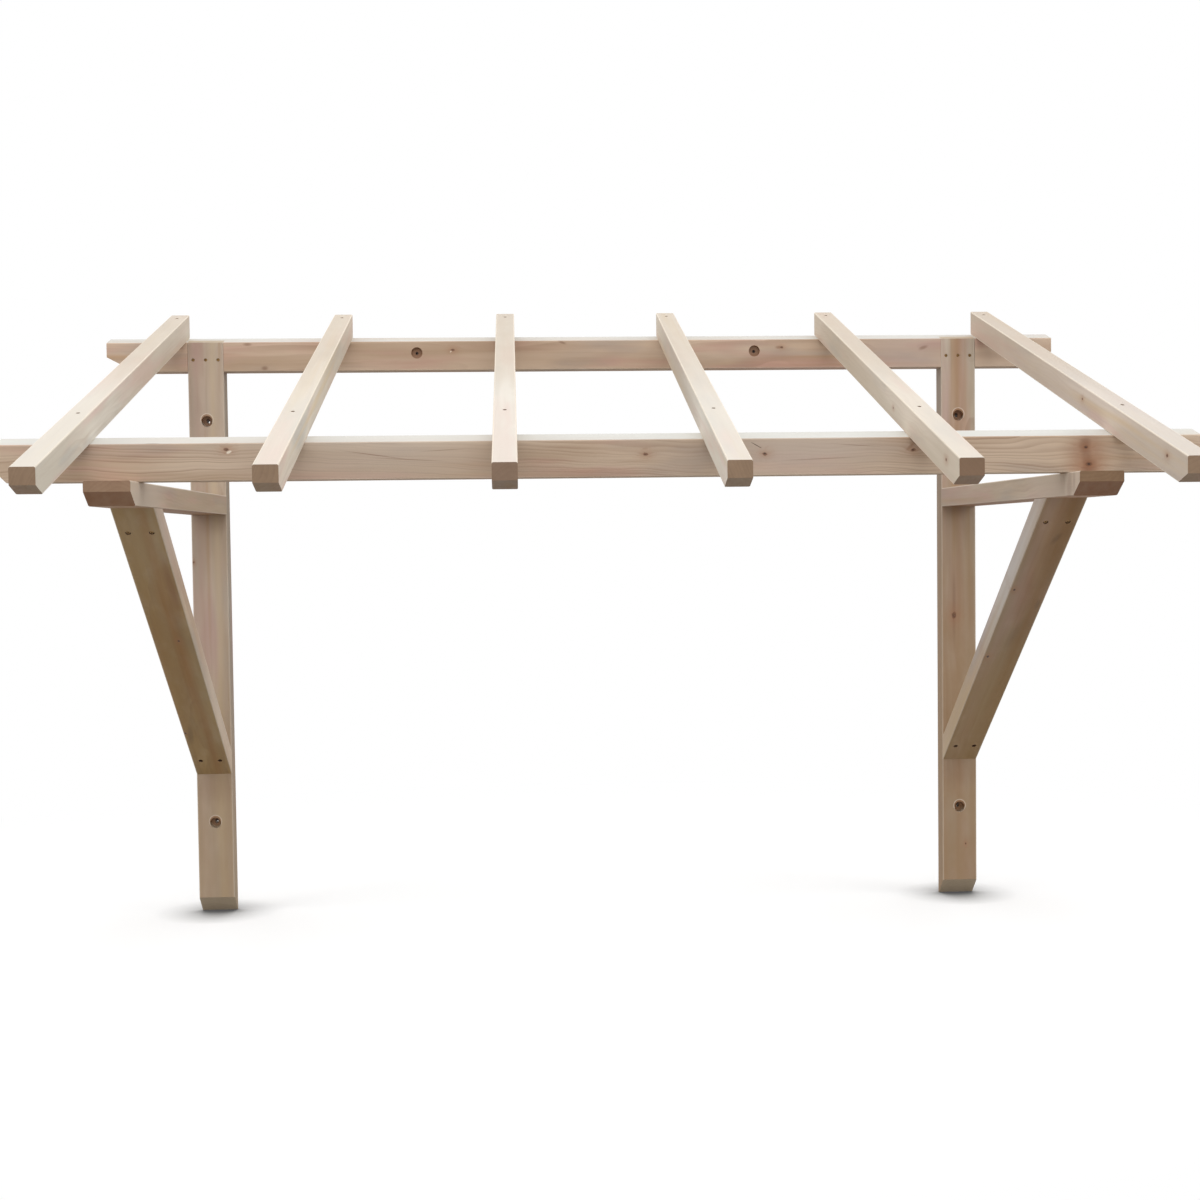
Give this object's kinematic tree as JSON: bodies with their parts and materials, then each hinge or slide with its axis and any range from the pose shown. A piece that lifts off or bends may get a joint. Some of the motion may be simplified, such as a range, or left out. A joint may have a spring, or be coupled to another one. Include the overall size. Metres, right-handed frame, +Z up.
{
  "type": "wall-mounted pergola",
  "caption": "Open lean-to pergola frame of planed softwood that hangs on a wall: braced post brackets carry a front beam, and sloping rafters run from a wall plate over the beam.",
  "frame": {"origin": "middle of the wall plate's back face, in the wall plane", "axes": "+X along the wall plate to the right as seen from the front, +Y into the wall, +Z up; the front of the pergola faces -Y"},
  "size_m": [2.44, 1.352, 1.5422],
  "materials": {
    "plate_wood": "planed, bare",
    "post_wood": "planed, bare",
    "arm_wood": "planed, bare",
    "brace_wood": "planed, bare",
    "rafter_wood": "planed, bare"
  },
  "bodies": {
    "root": {"wall_plate": "plate_wood", "left_post": "post_wood", "right_post": "post_wood", "left_arm": "arm_wood", "right_arm": "arm_wood", "left_brace": "brace_wood", "right_brace": "brace_wood", "front_beam": "plate_wood", "rafter_1": "rafter_wood", "rafter_2": "rafter_wood", "rafter_3": "rafter_wood", "rafter_4": "rafter_wood", "rafter_5": "rafter_wood", "rafter_6": "rafter_wood"}
  },
  "joints": []
}
